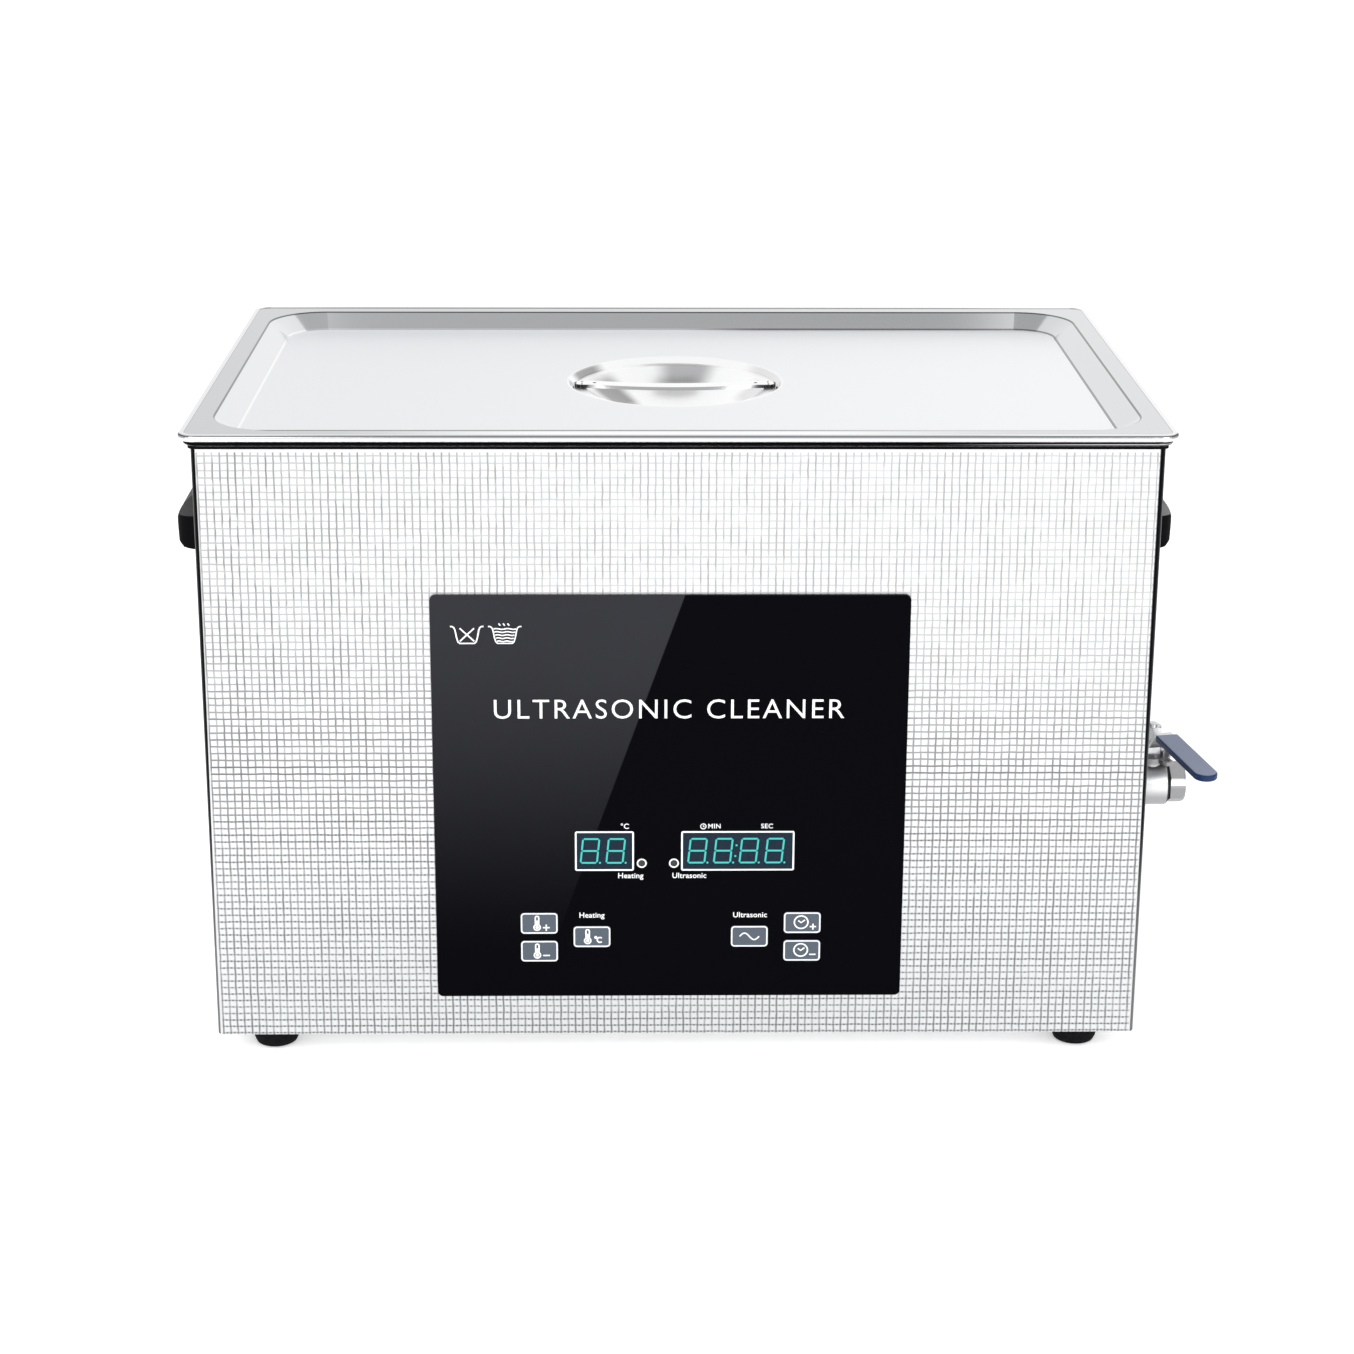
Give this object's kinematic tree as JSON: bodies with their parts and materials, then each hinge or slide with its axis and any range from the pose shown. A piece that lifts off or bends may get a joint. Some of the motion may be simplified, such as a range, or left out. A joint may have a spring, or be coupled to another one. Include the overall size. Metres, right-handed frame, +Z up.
{
  "type": "ultrasonic cleaner",
  "caption": "Bench-top ultrasonic cleaner: heated stainless tank in a linen-finish steel casing, loose lid with sunken grip, key panel, side handles and drain valve.",
  "frame": {"origin": "on the table, under the middle of the casing footprint", "axes": "+X to the side with the drain valve, -Y out of the control panel, +Z up out of the tank"},
  "size_m": [0.5983, 0.328, 0.365],
  "materials": {
    "linen_steel": "linen-embossed stainless sheet",
    "plain_steel": "satin stainless sheet",
    "polished_steel": "polished stainless sheet",
    "valve_steel": "cast stainless, bead blasted",
    "zinc_steel": "bright zinc plated screws",
    "black_seal": "black silicone seal",
    "black_rubber": "moulded black rubber",
    "black_plastic": "fine textured black plastic",
    "panel_black": "gloss black printed panel",
    "display_navy": "dark tinted display window",
    "lamp_clear": "clear indicator lens",
    "key_slate": "slate grey key cap",
    "board_green": "glass fibre board",
    "switch_black": "black moulded plastic",
    "alloy": "machined aluminium",
    "ceramic_ring": "silvered ceramic",
    "copper_tag": "copper sheet",
    "heater_orange": "orange silicone pad",
    "ptfe_white": "white seat ring",
    "grip_blue": "blue dipped vinyl sleeve",
    "fuse_glass": "clear glass",
    "capacitor_black": "sleeved can",
    "transformer_dark": "ferrite and tape"
  },
  "bodies": {
    "cleaner": {"ball_seats": "ptfe_white", "base_plate": "plain_steel", "board_standoffs": "zinc_steel", "control_board": "board_green", "control_overlay": "panel_black", "drain_elbow": "plain_steel", "drain_locknuts": "valve_steel", "drain_pipe": "plain_steel", "electrode_plates": "copper_tag", "fan_frame": "black_plastic", "fan_guard": "zinc_steel", "filter_capacitors": "capacitor_black", "foot_front_left": "black_rubber", "foot_front_right": "black_rubber", "foot_rear_left": "black_rubber", "foot_rear_right": "black_rubber", "foot_screws": "zinc_steel", "generator_board": "board_green", "gland_nut": "zinc_steel", "handle_left": "black_plastic", "handle_right": "black_plastic", "handle_screws": "zinc_steel", "heat_sink": "alloy", "heater_pads": "heater_orange", "indicator_leds": "lamp_clear", "inlet_housing": "black_plastic", "inlet_pins": "zinc_steel", "key_switches": "switch_black", "outer_casing": "linen_steel", "output_transformer": "transformer_dark", "piezo_rings": "ceramic_ring", "rear_panel": "plain_steel", "rear_panel_screws": "zinc_steel", "rim_seal": "black_seal", "tank": "polished_steel", "temp_display": "display_navy", "temperature_sensor": "zinc_steel", "time_display": "display_navy", "transducer_back_masses": "zinc_steel", "transducer_bolts": "zinc_steel", "transducer_front_masses": "alloy", "valve_body": "valve_steel", "valve_end_cap": "valve_steel"},
    "lid": {"lid": "polished_steel", "lid_handle": "polished_steel"},
    "drain_handle": {"valve_ball": "polished_steel", "valve_stem": "zinc_steel", "lever": "plain_steel", "lever_grip": "grip_blue", "lever_nut": "zinc_steel"},
    "temp_up": {"temp_up_key": "key_slate"},
    "temp_down": {"temp_down_key": "key_slate"},
    "heater": {"heater_key": "key_slate"},
    "ultrasonic": {"ultrasonic_key": "key_slate"},
    "time_up": {"time_up_key": "key_slate"},
    "time_down": {"time_down_key": "key_slate"},
    "power_switch": {"power_rocker": "switch_black"},
    "fuse_holder": {"fuse_drawer": "switch_black", "mains_fuse": "fuse_glass"},
    "fan": {"fan_rotor": "black_plastic"}
  },
  "joints": [
    {"name": "lid_lift", "type": "slide", "parent": "cleaner", "child": "lid", "axis": [0, 0, 1], "range_m": [0, 0.15]},
    {"name": "drain_lever_turn", "type": "hinge", "parent": "cleaner", "child": "drain_handle", "pos_m": [0.2915, 0, 0.104], "axis": [0, 0, 1], "range_deg": [-10.5, 79.5]},
    {"name": "power_rocker_tilt", "type": "hinge", "parent": "cleaner", "child": "power_switch", "pos_m": [0.15, 0.156, 0.0955], "axis": [0, 0, 1], "range_deg": [0, 14]},
    {"name": "fuse_drawer_slide", "type": "slide", "parent": "cleaner", "child": "fuse_holder", "axis": [0, 1, 0], "range_m": [0, 0.018]},
    {"name": "fan_spin", "type": "hinge", "parent": "cleaner", "child": "fan", "pos_m": [-0.12, 0.1415, 0.064], "axis": [0, 1, 0], "continuous": true},
    {"name": "temp_up_press", "type": "slide", "parent": "cleaner", "child": "temp_up", "axis": [0, 1, 0], "range_m": [0, 0.0004], "stiffness_N_per_m": 1500},
    {"name": "temp_down_press", "type": "slide", "parent": "cleaner", "child": "temp_down", "axis": [0, 1, 0], "range_m": [0, 0.0004], "stiffness_N_per_m": 1500},
    {"name": "heater_press", "type": "slide", "parent": "cleaner", "child": "heater", "axis": [0, 1, 0], "range_m": [0, 0.0004], "stiffness_N_per_m": 1500},
    {"name": "ultrasonic_press", "type": "slide", "parent": "cleaner", "child": "ultrasonic", "axis": [0, 1, 0], "range_m": [0, 0.0004], "stiffness_N_per_m": 1500},
    {"name": "time_up_press", "type": "slide", "parent": "cleaner", "child": "time_up", "axis": [0, 1, 0], "range_m": [0, 0.0004], "stiffness_N_per_m": 1500},
    {"name": "time_down_press", "type": "slide", "parent": "cleaner", "child": "time_down", "axis": [0, 1, 0], "range_m": [0, 0.0004], "stiffness_N_per_m": 1500}
  ]
}
